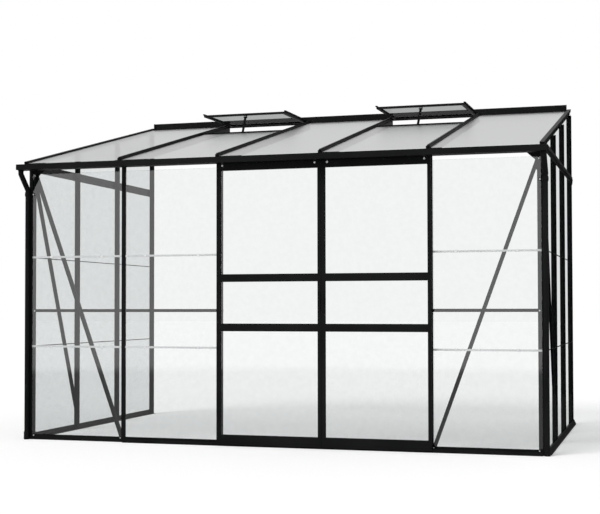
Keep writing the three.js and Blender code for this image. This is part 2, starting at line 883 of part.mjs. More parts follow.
function door(side) {
  const first = doorway - meetingGap / 2 - leafWidth;
  const leaf = (x) => (side === 'left' ? first + x : 2 * doorway - first - x);
  const leafSpan = (a, b) => sorted(leaf(a), leaf(b));
  const back = doorFront + doorDepth;
  const glassBottom = doorBottom + bottomRail;
  const glassTop = doorTop - topRail;
  const fields = [
    [glassBottom, lowerRailFoot],
    [lowerRailFoot + middleRail, upperRailFoot],
    [upperRailFoot + middleRail, glassTop],
  ];
  const outline = shapeOf(rectangle(leafSpan(0, leafWidth), [doorBottom, doorTop]));
  for (const field of fields) {
    const corners = rectangle(leafSpan(stile, leafWidth - stile), field);
    outline.holes.push(new THREE.Path(corners.map(([a, b]) => new THREE.Vector2(a, b))));
  }
  const frame = prism(outline, doorDepth).rotateX(Math.PI / 2).translate(0, back, 0);
  const glassX = leafSpan(stile - glassPocket, leafWidth - stile + glassPocket);
  const glassZ = [glassBottom - glassPocket, glassTop + glassPocket];
  const glassY = [doorFront + glassSetBack, doorFront + glassSetBack + glassThickness];
  const grow = ([a, b]) => [a - seat, b + seat];
  const pocket = box(grow(glassX), grow(glassY), grow(glassZ));
  const groove = box(
    leafSpan(-overrun, leafWidth + overrun),
    [doorFront + grooveFront, doorFront + grooveFront + grooveWidth],
    [doorBottom - overrun, doorBottom + grooveDepth],
  );
  const meeting = leafSpan(leafWidth - (stile + gripWidth) / 2, leafWidth - (stile - gripWidth) / 2);
  const gripZ = [gripFoot, gripFoot + gripLength];
  const wheelFront = gutterBack + wheelGap;
  const headBack = wheelFront - seat;
  const hangerY = trackBack + hangerClear;
  const pieces = [
    cut(frame, pocket, groove),
    box(meeting, [doorFront - gripOut, doorFront + sheet], gripZ),
    box(meeting, [back - sheet, back + gripIn], gripZ),
  ];
  const hangers = [hangerInset, leafWidth - hangerInset];
  const hangerZ = [doorTop - hangerLap, axleZ + wheelRadius];
  for (const place of hangers) {
    const x = leaf(place);
    const plateX = [x - hangerWidth / 2, x + hangerWidth / 2];
    pieces.push(box(plateX, [hangerY, hangerY + sheet], hangerZ));
    pieces.push(rod([x, hangerY + seat, axleZ], [x, headBack, axleZ], axleRadius, wheelSides));
    const headFront = headBack - axleHeadThickness;
    pieces.push(rod([x, headBack, axleZ], [x, headFront, axleZ], axleHead, wheelSides));
  }
  add(root, `${side}_door_frame`, join(...pieces), black);
  add(root, `${side}_door_glass`, box(glassX, glassY, glassZ), pane);
  hangers.forEach((place, index) => {
    const wheel = add(root, `${side}_door_wheel_${index + 1}`, wheelRing(), nylon);
    wheel.position.set(leaf(place), wheelFront + wheelWidth / 2, axleZ);
  });
}

function wheelRing() {
  const bore = axleRadius + axleClear;
  const half = wheelWidth / 2;
  const profile = [
    [bore, -half],
    [wheelRadius, -half],
    [wheelRadius, half],
    [bore, half],
    [bore, -half],
  ];
  return new THREE.LatheGeometry(profile.map(([r, h]) => new THREE.Vector2(r, h)), wheelSides);
}

// Assembly

frontSill();
eaveGutter();
wallPlate();
for (const side of sides) {
  gableSill(side);
  cornerPost(side);
  wallPost(side);
  eavesRail(side);
  cornerBrace(side);
  downpipe(side);
  for (let line = 1; line < sideBays; line += 1) {
    gableUpright(side, line);
  }
  for (let line = 0; line < sideBays; line += 1) {
    gableGlass(side, line);
  }
  door(side);
}
frontUpright('front_bar', 1);
frontUpright('left_door_post', doorLines[0]);
frontUpright('right_door_post', doorLines[1]);
midRail('left', doorLines[0]);
midRail('right', frontBays - doorLines[1]);
for (let line = 0; line < frontBays; line += 1) {
  if (line < doorLines[0] || line >= doorLines[1]) {
    frontGlass(line);
  }
}
for (let line = 0; line <= frontBays; line += 1) {
  rafter(line);
}
for (let line = 0; line < frontBays; line += 1) {
  roofGlass(line);
}
for (const line of ventBays) {
  ventSill(line);
  vent(line);
}

export default root;
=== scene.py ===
# %% [markdown]
# # A lean-to greenhouse in black aluminium
# A lean-to has half a roof and an open back. This one has five bays of glass along its front, a pair of
# sliding doors and two roof vents on props. The measured solids come in as a fixed frame, and this lesson
# gives them their finishes and adds the small things that such solids leave out: seals, joint strips,
# bolts and clips. Everything is in metres, +Z is up, and the front looks along -Y.

import json
from math import cos, pi, tan

import bmesh
import bpy
from mathutils import Matrix, Vector


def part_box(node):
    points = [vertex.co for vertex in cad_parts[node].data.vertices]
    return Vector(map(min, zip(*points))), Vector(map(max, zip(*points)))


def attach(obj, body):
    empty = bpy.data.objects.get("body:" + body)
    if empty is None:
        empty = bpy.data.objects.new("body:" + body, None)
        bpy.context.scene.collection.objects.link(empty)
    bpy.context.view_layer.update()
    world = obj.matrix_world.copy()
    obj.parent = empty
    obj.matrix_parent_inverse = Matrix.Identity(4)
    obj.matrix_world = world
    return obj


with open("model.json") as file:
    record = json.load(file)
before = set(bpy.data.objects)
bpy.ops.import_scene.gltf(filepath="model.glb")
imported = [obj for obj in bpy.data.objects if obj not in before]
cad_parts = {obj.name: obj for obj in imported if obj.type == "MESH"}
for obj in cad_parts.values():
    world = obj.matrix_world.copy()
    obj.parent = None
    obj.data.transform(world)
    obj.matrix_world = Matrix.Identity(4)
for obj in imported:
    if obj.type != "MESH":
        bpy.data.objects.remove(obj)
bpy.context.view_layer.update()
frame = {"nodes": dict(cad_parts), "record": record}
solids = frame["nodes"]
scene = bpy.context.scene

# %% [markdown]
# ## The camera
# The picture was taken from a little right of the middle, at hip height, with a longish lens, so the roof
# is seen almost edge on. A camera can be placed by hand and eye, or worked out from points whose real
# places are known. The second way was used here: the bar lines and the gutter give the place, the turn and
# the lens, so the same edges fall on the same pixels.

# %% Place the camera
camera_place = Vector((2.19302, -7.71994, 0.8029))
camera_turn = 0.2934
camera_tilt = 0.029
camera_roll = -0.0014
camera_lens = 74.621
camera_shift = (0.0127, 0.0235)

camera_data = bpy.data.cameras.new("photo_camera")
camera_data.lens = camera_lens
camera_data.sensor_width = 36
camera_data.shift_x, camera_data.shift_y = camera_shift
camera = bpy.data.objects.new("photo_camera", camera_data)
camera.matrix_world = (
    Matrix.Translation(camera_place)
    @ Matrix.Rotation(camera_turn, 4, "Z")
    @ Matrix.Rotation(pi / 2 + camera_tilt, 4, "X")
    @ Matrix.Rotation(camera_roll, 4, "Z")
)
scene.collection.objects.link(camera)
scene.camera = camera
print("camera at", tuple(round(value, 3) for value in camera_place), "lens", camera_lens)

# %% [markdown]
# ## Light and surroundings
# Black bars and clear glass show what is around them more than what shines on them. A white room all
# round is the plainest studio: the world is white for the camera and for every reflection, and a little
# dimmer as a light, so that a broad sun can still draw the shape and lay a soft shadow on the floor. A sun
# lights the whole floor alike, so that it is white up to the edge of the picture.

# %% Make a white world
world_light = 0.55
world = bpy.data.worlds.new("white_room")
scene.world = world
world.use_nodes = True
tree = world.node_tree
tree.nodes.clear()
seen = tree.nodes.new("ShaderNodeBackground")
seen.inputs["Color"].default_value = (1, 1, 1, 1)
lit = tree.nodes.new("ShaderNodeBackground")
lit.inputs["Color"].default_value = (1, 1, 1, 1)
lit.inputs["Strength"].default_value = world_light
rays = tree.nodes.new("ShaderNodeLightPath")
first = tree.nodes.new("ShaderNodeMath")
first.operation = "MAXIMUM"
second = tree.nodes.new("ShaderNodeMath")
second.operation = "MAXIMUM"
choice = tree.nodes.new("ShaderNodeMixShader")
out = tree.nodes.new("ShaderNodeOutputWorld")
tree.links.new(rays.outputs["Is Camera Ray"], first.inputs[0])
tree.links.new(rays.outputs["Is Glossy Ray"], first.inputs[1])
tree.links.new(first.outputs[0], second.inputs[0])
tree.links.new(rays.outputs["Is Transmission Ray"], second.inputs[1])
tree.links.new(second.outputs[0], choice.inputs[0])
tree.links.new(lit.outputs[0], choice.inputs[1])
tree.links.new(seen.outputs[0], choice.inputs[2])
tree.links.new(choice.outputs[0], out.inputs["Surface"])
scene.view_settings.view_transform = "Standard"
print("world light:", world_light)

# %% [markdown]
# ## One broad sun
# The sun stands high on the left and before the house, and it is made broad, so that its shadows have soft
# edges. It is kept weak: its work is to tell the front of a bar from its side, and no more.

# %% Hang one broad sun
sun_from = Vector((-2.0, -3.2, 4.2))
sun_strength = 1.75
sun_spread = 0.5

sun_data = bpy.data.lights.new("broad_sun", "SUN")
sun_data.energy = sun_strength
sun_data.angle = sun_spread
sun = bpy.data.objects.new("broad_sun", sun_data)
sun.matrix_world = sun_from.to_track_quat("Z", "Y").to_matrix().to_4x4()
scene.collection.objects.link(sun)
print("sun strength:", sun_strength)

# %% [markdown]
# ## A black card at the right
# The right end is seen almost along its glass, and at that angle even black paint mirrors the white room. A
# studio cures that with a black card that only the shiny faces see. It stands behind the house at the right
# and is high enough for the eaves rail, and still leaves a soft light on the side of the last rafter.

# %% Stand the black card
card_low = Vector((1.75, 4.0, -0.5))
card_high = Vector((7.0, 4.04, 3.1))
card_black = (0.01, 0.01, 0.01, 1)

card_shape = bmesh.new()
card_verts = bmesh.ops.create_cube(card_shape, size=1)["verts"]
bmesh.ops.scale(card_shape, vec=card_high - card_low, verts=card_verts)
bmesh.ops.translate(card_shape, vec=(card_low + card_high) / 2, verts=card_verts)
card_mesh = bpy.data.meshes.new("black_card")
card_shape.to_mesh(card_mesh)
card_shape.free()
card_paint = bpy.data.materials.new("black_card")
card_paint.use_nodes = True
card_paint.node_tree.nodes.clear()
dull = card_paint.node_tree.nodes.new("ShaderNodeBsdfDiffuse")
dull.inputs["Color"].default_value = card_black
card_out = card_paint.node_tree.nodes.new("ShaderNodeOutputMaterial")
card_paint.node_tree.links.new(dull.outputs[0], card_out.inputs["Surface"])
card_mesh.materials.append(card_paint)
card = bpy.data.objects.new("black_card", card_mesh)
scene.collection.objects.link(card)
card.visible_camera = False
card.visible_diffuse = False
card.visible_transmission = False
card.visible_shadow = False
print("card from", tuple(card_low), "to", tuple(card_high))

# %% [markdown]
# ## Node helpers
# Every finish below is a small network of nodes. A few helpers keep the networks short: three of them start
# a material, make a node and wire two sockets, and four more make a noise, a ramp between two colours, a
# span between two values and a bump. The pattern space is always the piece's own object space, in metres,
# so a pattern stays put when the piece moves.

# %% Helpers for materials
def start_material(name):
    material = bpy.data.materials.new(name)
    material.use_nodes = True
    material.node_tree.nodes.clear()
    return material, material.node_tree


def node(tree, kind, settings=None, **sockets):
    made = tree.nodes.new("ShaderNode" + kind)
    for key, value in (settings or {}).items():
        setattr(made, key, value)
    for key, value in sockets.items():
        made.inputs[key.replace("_", " ")].default_value = value
    return made


def wire(tree, source, socket, target, entry):
    tree.links.new(source.outputs[socket], target.inputs[entry])


def noise_on(tree, scale, detail=2.0, stretch=(1, 1, 1)):
    place = node(tree, "TexCoord")
    mapping = node(tree, "Mapping", Scale=stretch)
    noise = node(tree, "TexNoise", Scale=scale, Detail=detail)
    wire(tree, place, "Object", mapping, "Vector")
    wire(tree, mapping, "Vector", noise, "Vector")
    return noise


def ramp_between(tree, source, socket, low, high, near=0.35, far=0.65):
    ramp = node(tree, "ValToRGB")
    ramp.color_ramp.elements[0].position = near
    ramp.color_ramp.elements[0].color = (*low, 1)
    ramp.color_ramp.elements[1].position = far
    ramp.color_ramp.elements[1].color = (*high, 1)
    wire(tree, source, socket, ramp, "Fac")
    return ramp


def span_between(tree, source, socket, low, high):
    span = node(tree, "MapRange", To_Min=low, To_Max=high)
    wire(tree, source, socket, span, "Value")
    return span


def bump_from(tree, source, socket, distance, strength=1.0):
    bump = node(tree, "Bump", Strength=strength, Distance=distance)
    wire(tree, source, socket, bump, "Height")
    return bump


# %% [markdown]
# ## Black powder coat
# The bars are aluminium, sprayed with black powder and baked. The film melts into a satin skin with a very
# fine orange peel. A plain black would look like a hole, so a fine noise gives the peel, a broad one lets
# the black drift a little from bar to bar, and the sheen stays low, because the white room is all round.

# %% The black finish
peel_scale = 900
peel_height = 0.00004
peel_detail = 1.0
drift_scale = 2.2
drift_detail = 4.0
coat_black = (0.0058, 0.006, 0.0064)
coat_soft_black = (0.0096, 0.0098, 0.0102)
coat_sheen = 0.05
coat_roughness = 0.5
coat_spread = 0.06


def powder_coat(name, low, high, specular, roughness):
    material, tree = start_material(name)
    skin = node(tree, "BsdfPrincipled", Specular_IOR_Level=specular)
    drift = noise_on(tree, drift_scale, drift_detail)
    peel = noise_on(tree, peel_scale, peel_detail)
    colour = ramp_between(tree, drift, "Fac", low, high)
    rough = span_between(tree, peel, "Fac", roughness - coat_spread, roughness + coat_spread)
    bump = bump_from(tree, peel, "Fac", peel_height)
    out = node(tree, "OutputMaterial")
    wire(tree, colour, "Color", skin, "Base Color")
    wire(tree, rough, "Result", skin, "Roughness")
    wire(tree, bump, "Normal", skin, "Normal")
    wire(tree, skin, "BSDF", out, "Surface")
    return material


black_coat = powder_coat("black_powder_coat", coat_black, coat_soft_black, coat_sheen, coat_roughness)
print("finish:", black_coat.name)

# %% [markdown]
# ## Clear glass
# Horticultural glass is 3 mm thick, faintly green, and it never hides the bars behind it. A full glass
# shader bends light, which costs time and noise for nothing in such a thin pane. So each face lets light
# straight through with a faint tint, and the outer skin mirrors a small share of the room. That share is
# one number, or two for a pane that mirrors more edge on than face on, as Fresnel's rule says. A slow noise
# makes the drawn sheet wavy, and a finer one lays a thin film of dust on it.

# %% A finish for thin panes
wave_scale = 3.5
wave_detail = 1.0
wave_height = 0.0012
wave_strength = 0.25
dust_scale = 38
dust_detail = 5.0
dust_dimming = 0.985
dust_dulling = 0.03
fresnel_ior = 1.5
fresnel_face_on = 0.04
fresnel_edge_on = 0.5


def clear_glass(name, tint_and_painted_shade, mirror, shine, grey=(1, 1, 1)):
    """Clear glass; mirror is the share of the room that it shows, or its shares face on and edge on."""
    material, tree = start_material(name)
    dust = noise_on(tree, dust_scale, dust_detail)
    wave = noise_on(tree, wave_scale, wave_detail)
    # For the end, roof and vent panes the tint carries painted shade, and the dust dims it a little more.
    film = ramp_between(tree, dust, "Fac", [value * dust_dimming for value in tint_and_painted_shade], tint_and_painted_shade)
    through = node(tree, "BsdfTransparent")
    gloss = node(tree, "BsdfGlossy", Color=(*grey, 1))
    rough = span_between(tree, dust, "Fac", shine, shine + dust_dulling)
    bump = bump_from(tree, wave, "Fac", wave_height, wave_strength)
    side = node(tree, "NewGeometry")
    mix = node(tree, "MixShader")
    out = node(tree, "OutputMaterial")
    if isinstance(mirror, tuple):
        edge = node(tree, "Fresnel", IOR=fresnel_ior)
        amount = node(tree, "MapRange", From_Min=fresnel_face_on, From_Max=fresnel_edge_on,
                      To_Min=mirror[0], To_Max=mirror[1])
        outside = node(tree, "Math", {"operation": "SUBTRACT"})
        outside.inputs[0].default_value = 1
        share = node(tree, "Math", {"operation": "MULTIPLY"})
        wire(tree, edge, "Fac", amount, "Value")
        wire(tree, side, "Backfacing", outside, 1)
        wire(tree, amount, "Result", share, 0)
        wire(tree, outside, 0, share, 1)
        wire(tree, share, 0, mix, "Fac")
    else:
        share = node(tree, "MapRange", From_Min=0, From_Max=1, To_Min=mirror, To_Max=0)
        wire(tree, side, "Backfacing", share, "Value")
        wire(tree, share, "Result", mix, "Fac")
    wire(tree, film, "Color", through, "Color")
    wire(tree, rough, "Result", gloss, "Roughness")
    wire(tree, bump, "Normal", gloss, "Normal")
    wire(tree, through, "BSDF", mix, 1)
    wire(tree, gloss, "BSDF", mix, 2)
    wire(tree, mix, "Shader", out, "Surface")
    return material


print("waves and dust of the glass:", wave_scale, dust_scale)

# %% [markdown]
# ## Four kinds of glass
# One pane of glass looks unlike another because of what stands behind it and how flat the eye meets it. So
# the same finish is made four times. The front panes mirror more of the room than the end panes, which the
# camera sees almost edge on. The roof panes mirror little face on and much edge on. The end, roof and vent
# panes are the same glass as the front, and their darker tints are painted shade; the open vents' is darkest.

# %% Four kinds of glass
front_tint = (0.942, 0.949, 0.949)
front_mirror = 0.115
wall_shine = 0.015
# The end, roof and vent tints are painted shade: the same glass as the front, made darker.
end_tint_painted_shade = (0.866, 0.876, 0.876)
end_mirror = 0.015
slope_tint_painted_shade = (0.86, 0.87, 0.868)
slope_mirror = (0.08, 0.86)
slope_grey = (0.6, 0.605, 0.602)
slope_shine = 0.35
vent_tint_painted_shade = (0.63, 0.64, 0.638)
vent_mirror = 0.04
vent_shine = 0.1

front_glass = clear_glass("clear_front_glass", front_tint, front_mirror, wall_shine)
end_glass = clear_glass("clear_end_glass", end_tint_painted_shade, end_mirror, wall_shine)
slope_glass = clear_glass("clear_roof_glass", slope_tint_painted_shade, slope_mirror, slope_shine, slope_grey)
vent_glass = clear_glass("clear_vent_glass", vent_tint_painted_shade, vent_mirror, vent_shine)
print("finishes:", front_glass.name, end_glass.name, slope_glass.name, vent_glass.name)

# %% [markdown]
# ## Nylon for the wheels
# The doors hang from small nylon wheels that run in the track. Nylon is milky and a little waxy, so some
# light goes under its skin, and a fine noise stands for the marks that the track leaves on it.

# %% The nylon finish
nylon_worn = (0.55, 0.55, 0.52)
nylon_white = (0.66, 0.66, 0.64)
nylon_roughness = (0.4, 0.6)
nylon_under_skin = 0.2
nylon_depth = 0.002
wear_scale = 350
wear_detail = 3.0
wear_height = 0.00008


def plain_nylon():
    material, tree = start_material("white_nylon")
    skin = node(tree, "BsdfPrincipled", Subsurface_Weight=nylon_under_skin, Subsurface_Scale=nylon_depth)
    wear = noise_on(tree, wear_scale, wear_detail)
    colour = ramp_between(tree, wear, "Fac", nylon_worn, nylon_white)
    rough = span_between(tree, wear, "Fac", *nylon_roughness)
    bump = bump_from(tree, wear, "Fac", wear_height)
    out = node(tree, "OutputMaterial")
    wire(tree, colour, "Color", skin, "Base Color")
    wire(tree, rough, "Result", skin, "Roughness")
    wire(tree, bump, "Normal", skin, "Normal")
    wire(tree, skin, "BSDF", out, "Surface")
    return material


nylon = plain_nylon()
print("finish:", nylon.name)

# %% [markdown]
# ## Rubber, zinc and brush
# Rubber is softer and duller than the coat, with a fine dry grain. Bolts and screws are zinc plated, so
# they are the bright dots on the black bars. The brush of a door is a pile of short hairs, and its grain is
# drawn out along the brush. All three differ only in their numbers, so one function makes them.

# %% Rubber, zinc and brush
rubber_dark = (0.006, 0.006, 0.006)
rubber_dusty = (0.012, 0.012, 0.012)
zinc_dark = (0.62, 0.63, 0.64)
zinc_bright = (0.9, 0.91, 0.92)
pile_dark = (0.012, 0.012, 0.013)
pile_light = (0.05, 0.05, 0.052)
rubber_grain = 500
zinc_grain = 700
pile_grain = 900
along_the_pile = (1, 1, 0.03)
grain_detail = 3.0


def grained(name, low, high, scale, rough_low, rough_high, height, stretch=(1, 1, 1), metal=0.0, level=0.1):
    material, tree = start_material(name)
    skin = node(tree, "BsdfPrincipled", Metallic=metal, Specular_IOR_Level=level)
    grain = noise_on(tree, scale, grain_detail, stretch)
    colour = ramp_between(tree, grain, "Fac", low, high)
    rough = span_between(tree, grain, "Fac", rough_low, rough_high)
    bump = bump_from(tree, grain, "Fac", height)
    out = node(tree, "OutputMaterial")
    wire(tree, colour, "Color", skin, "Base Color")
    wire(tree, rough, "Result", skin, "Roughness")
    wire(tree, bump, "Normal", skin, "Normal")
    wire(tree, skin, "BSDF", out, "Surface")
    return material


rubber = grained(
    "black_rubber", rubber_dark, rubber_dusty, rubber_grain, rough_low=0.7, rough_high=0.9, height=0.00006,
)
zinc = grained(
    "bright_zinc", zinc_dark, zinc_bright, zinc_grain, rough_low=0.25, rough_high=0.4, height=0.00003,
    metal=0.6, level=0.5,
)
brush_pile = grained(
    "brush_pile", pile_dark, pile_light, pile_grain, rough_low=0.8, rough_high=0.95, height=0.0002,
    stretch=along_the_pile,
)
print("finishes:", rubber.name, zinc.name, brush_pile.name)

# %% [markdown]
# ## Clear strip
# The strips that join two panes are clear plastic. They let some light through and scatter the rest, and a
# slow, drawn out noise makes them a little cloudy along their length. The strips of the two ends are the same
# plastic painted near black, as painted shade for how they look when seen along their length.

# %% Clear strip
strip_milk = (0.86, 0.88, 0.88)
# The near-black milk of the end strips is painted shade, not the colour of the plastic.
end_strip_painted_shade = (0.03, 0.032, 0.033)
cloud_scale = 90
cloud_stretch = (0.05, 0.05, 1)
cloud_dimming = 0.9
cloud_spread = 0.08
strip_share = 0.55
end_strip_share = 0.45


def clear_strip(name, milk, share):
    material, tree = start_material(name)
    milky = node(tree, "BsdfDiffuse")
    through = node(tree, "BsdfTransparent")
    cloud = noise_on(tree, cloud_scale, grain_detail, cloud_stretch)
    colour = ramp_between(tree, cloud, "Fac", [value * cloud_dimming for value in milk], milk)
    amount = span_between(tree, cloud, "Fac", share - cloud_spread, share + cloud_spread)
    mix = node(tree, "MixShader")
    out = node(tree, "OutputMaterial")
    wire(tree, colour, "Color", milky, "Color")
    wire(tree, amount, "Result", mix, "Fac")
    wire(tree, through, "BSDF", mix, 1)
    wire(tree, milky, "BSDF", mix, 2)
    wire(tree, mix, "Shader", out, "Surface")
    return material


joint_plastic = clear_strip("clear_joint_strip", strip_milk, strip_share)
end_joint_plastic_painted_shade = clear_strip("clear_end_joint_strip_painted_shade", end_strip_painted_shade, end_strip_share)
print("finishes:", joint_plastic.name, end_joint_plastic_painted_shade.name)

# %% [markdown]
# ## Which solid gets which finish
# The names of the solids tell what they are made of, so one short function picks the finish from the name.
# The roof, its vents and the ends of the house have glass of their own, with painted shade in their darker
# tints, because they are seen from a flatter angle or against something darker.

# %% Give every solid its finish
def finish_of(name):
    if "wheel" in name:
        return nylon
    if name.startswith("roof_glass"):
        return slope_glass
    if name.startswith("vent_glass"):
        return vent_glass
    if "gable_glass" in name:
        return end_glass
    return front_glass if "glass" in name else black_coat


for name, solid in solids.items():
    for place in solid.material_slots:
        place.material = finish_of(name)
print("solids with a finish:", len(solids))

# %% [markdown]
# ## The floor
# The house stands on a plain pale floor, one large sheet that takes the shadow. For the camera it glows a
# little, so that it meets the white world without a line. What the glass mirrors of it is a painted
# reflection: a glow that is dimmer out to some ten metres, which paints a deeper tone into the lower panes.

# %% A finish for the floor
floor_paint = 0.9
floor_glow = 0.17
# Painted reflection: for glossy rays the floor is a glow, dimmer out to the reach.
painted_reflection_near = 0.34
painted_reflection_reach = 10.0
floor_grain = 60
floor_grain_height = 0.0003


def pale_floor():
    material, tree = start_material("pale_floor")
    paint = node(tree, "BsdfDiffuse", Color=(floor_paint, floor_paint, floor_paint, 1))
    grain = noise_on(tree, floor_grain, grain_detail)
    bump = bump_from(tree, grain, "Fac", floor_grain_height)
    glow = node(tree, "Emission", Strength=floor_glow)
    both = node(tree, "AddShader")
    rays = node(tree, "LightPath")
    seen = node(tree, "Math", {"operation": "MAXIMUM"})
    lit = node(tree, "MixShader")
    place = node(tree, "TexCoord")
    away = node(tree, "VectorMath", {"operation": "LENGTH"})
    painted_reflection_fade = node(tree, "MapRange", From_Min=painted_reflection_reach - 1, From_Max=painted_reflection_reach + 1,
                To_Min=painted_reflection_near, To_Max=1)
    # The glow that the glass mirrors in place of the lit floor: a painted reflection.
    painted_reflection = node(tree, "Emission")
    choice = node(tree, "MixShader")
    out = node(tree, "OutputMaterial")
    wire(tree, bump, "Normal", paint, "Normal")
    wire(tree, paint, "BSDF", both, 0)
    wire(tree, glow, "Emission", both, 1)
    wire(tree, rays, "Is Camera Ray", seen, 0)
    wire(tree, rays, "Is Transmission Ray", seen, 1)
    wire(tree, seen, 0, lit, "Fac")
    wire(tree, paint, "BSDF", lit, 1)
    wire(tree, both, "Shader", lit, 2)
    wire(tree, place, "Object", away, 0)
    wire(tree, away, "Value", painted_reflection_fade, "Value")
    wire(tree, painted_reflection_fade, "Result", painted_reflection, "Strength")
    wire(tree, rays, "Is Glossy Ray", choice, "Fac")
    wire(tree, lit, "Shader", choice, 1)
    wire(tree, painted_reflection, "Emission", choice, 2)
    wire(tree, choice, "Shader", out, "Surface")
    return material


floor_finish = pale_floor()
print("finish:", floor_finish.name)

# %% [markdown]
# ## Laying the floor
# One square face is enough, far wider than the picture.

# %% Lay the floor
floor_half = 60

ground = bmesh.new()
bmesh.ops.create_grid(ground, x_segments=1, y_segments=1, size=floor_half)
floor_mesh = bpy.data.meshes.new("floor")
ground.to_mesh(floor_mesh)
ground.free()
floor = bpy.data.objects.new("floor", floor_mesh)
floor.data.materials.append(floor_finish)
scene.collection.objects.link(floor)
print("floor:", 2 * floor_half, "m wide")

# %% [markdown]
# ## Tools for the small pieces
# A fitter's small parts are few in kind: bars with their edges broken, screws, rings and bolts. Each kind
# gets one short function, made with mesh operators, in the cell that first needs it, so that the other
# cells only say where the pieces go. The first three give a solid's box, make a bar, and turn a shape into
# a named piece. Every shape is made at its place, in metres, and rides on its body.

# %% Tools for the small pieces
edge_break = 0.0006
fine_break = 0.0004


def finished(name, shape, material, body="house"):
    """Turns a shape into a named piece that rides on a body."""
    bmesh.ops.recalc_face_normals(shape, faces=shape.faces)
    mesh = bpy.data.meshes.new(name)
    shape.to_mesh(mesh)
    shape.free()
    mesh.materials.append(material)
    piece = bpy.data.objects.new(name, mesh)
    scene.collection.objects.link(piece)
    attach(piece, body)


def bar(shape, low, high, rounding=edge_break, turn=None):
    """A bar between two corners, with its edges broken; turn tilts it afterwards."""
    low, high = Vector(low), Vector(high)
    verts = bmesh.ops.create_cube(shape, size=1)["verts"]
    bmesh.ops.scale(shape, vec=high - low, verts=verts)
    bmesh.ops.translate(shape, vec=(low + high) / 2, verts=verts)
    edges = list({edge for vert in verts for edge in vert.link_edges})
    made = bmesh.ops.bevel(
        shape, geom=edges, offset=rounding, affect="EDGES", segments=1, profile=0.5, material=-1
    )
    if turn:
        bmesh.ops.transform(shape, matrix=turn, verts=made["verts"])


def corners_of(name):
    """The low and the high corner of a solid's box."""
    low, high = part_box(name)
    return Vector(low), Vector(high)


print("edges broken by", edge_break, "or", fine_break, "m")

# %% [markdown]
# ## Joint strips
# No pane runs from sill to gutter. Three panes stand one above the other in each bay, and a clear strip
# of H section holds the two edges together. A strip is two lips and a web between them, and it takes its
# length and its depth from the pane itself. On the two ends the strips are seen along their length, where
# they look dark, so that shade is painted into them as a near-black tint.

# %% Put joint strips on the panes
joint_heights = (0.566, 1.1105)
lip_thickness = 0.001
web_height = 0.002
front_lip = 0.006
end_lip = 0.003
lip_break = 0.0003
cap_half = 0.012
strip_tuck = 0.003


def joint_strip(shape, low, high, across, height, lip):
    """Lips before and behind the pane and a web between them; across is the axis through the pane."""
    along = 1 - across
    start, end = low.copy(), high.copy()
    start[along] += cap_half - strip_tuck
    end[along] -= cap_half - strip_tuck
    for face, outward in ((low[across], -1), (high[across], 1)):
        sides = sorted((face, face + outward * lip_thickness))
        start[across], end[across] = sides
        start[2], end[2] = height - lip, height + lip
        bar(shape, start, end, lip_break)
    start[across], end[across] = low[across], high[across]
    start[2], end[2] = height - web_height / 2, height + web_height / 2
    bar(shape, start, end, fine_break)


front_panes = [name for name in solids if name.startswith("front_glass")]
end_panes = [name for name in solids if "gable_glass" in name]
for name in front_panes + end_panes:
    low, high = corners_of(name)
    across = 1 if name in front_panes else 0
    lip = front_lip if name in front_panes else end_lip
    # The end strips get the finish with painted shade.
    strip_finish = joint_plastic if name in front_panes else end_joint_plastic_painted_shade
    shape = bmesh.new()
    for height in joint_heights:
        joint_strip(shape, low, high, across, height, lip)
    finished(name + "_joint_strips", shape, strip_finish)
print("panes with joint strips:", len(front_panes + end_panes))

# %% [markdown]
# ## Clips
# Small clips keep the panes from sliding down: a flat plate over the joint, with a little hook at its foot.
# Each joint has two, and they are set out from the line of the bay, so that every bay has them alike.

# %% Put clips on the front panes
bays = 5
bay_width = 0.62
half_front = bays * bay_width / 2
clip_places = (0.14, 0.478)
clip_size = Vector((0.016, 0.0012, 0.014))
hook_size = Vector((0.008, 0.003, 0.003))
hook_break = 0.0008

for name in front_panes:
    low, high = corners_of(name)
    line = round((low.x + half_front) / bay_width) * bay_width - half_front
    shape = bmesh.new()
    for height in joint_heights:
        for place in clip_places:
            spot = Vector((line + place, low.y - lip_thickness, height))
            bar(shape, spot - clip_size / 2 - Vector((0, clip_size.y / 2, 0)),
                spot + clip_size / 2 - Vector((0, clip_size.y / 2, 0)), fine_break)
            hook = spot - Vector((hook_size.x / 2, clip_size.y + hook_size.y, clip_size.z / 2))
            bar(shape, hook, hook + hook_size, hook_break)
    finished(name + "_clips", shape, zinc)
print("clips on each pane:", len(joint_heights) * len(clip_places))

# %% [markdown]
# ## Rubber on the roof
# The foot of each roof pane lies on a soft strip on the gutter's back wall, which keeps the rain from
# blowing in under it. A second, flat strip closes the gap between the pane and the wall plate. The roof
# slopes, so the flat strips are made level, in the roof's own measure, and then tilted into place.

# %% Lay the rubber strips of the roof
gutter_low, gutter_high = corners_of("eave_gutter")
plate_low, plate_high = corners_of("wall_plate")
shelf_top = 1.674
seal_gap = 0.0004
seal_deep = 0.012
seal_back = 0.008
seal_end = 0.01
seal_edge = 0.0012
roof_degrees = 13.54
roof_tilt = roof_degrees * pi / 180
roof_foot = Vector((0, -0.9475, 1.69228))
glass_drop = 0.0108
roof_place = Matrix.Translation(roof_foot) @ Matrix.Rotation(roof_tilt, 4, "X")
roof_length = (plate_low.y - roof_foot.y) / cos(roof_tilt)
top_seal = Vector((0, 0.01, 0.003))
top_seal_gap = 0.004
top_seal_end = 0.012
top_seal_edge = 0.001

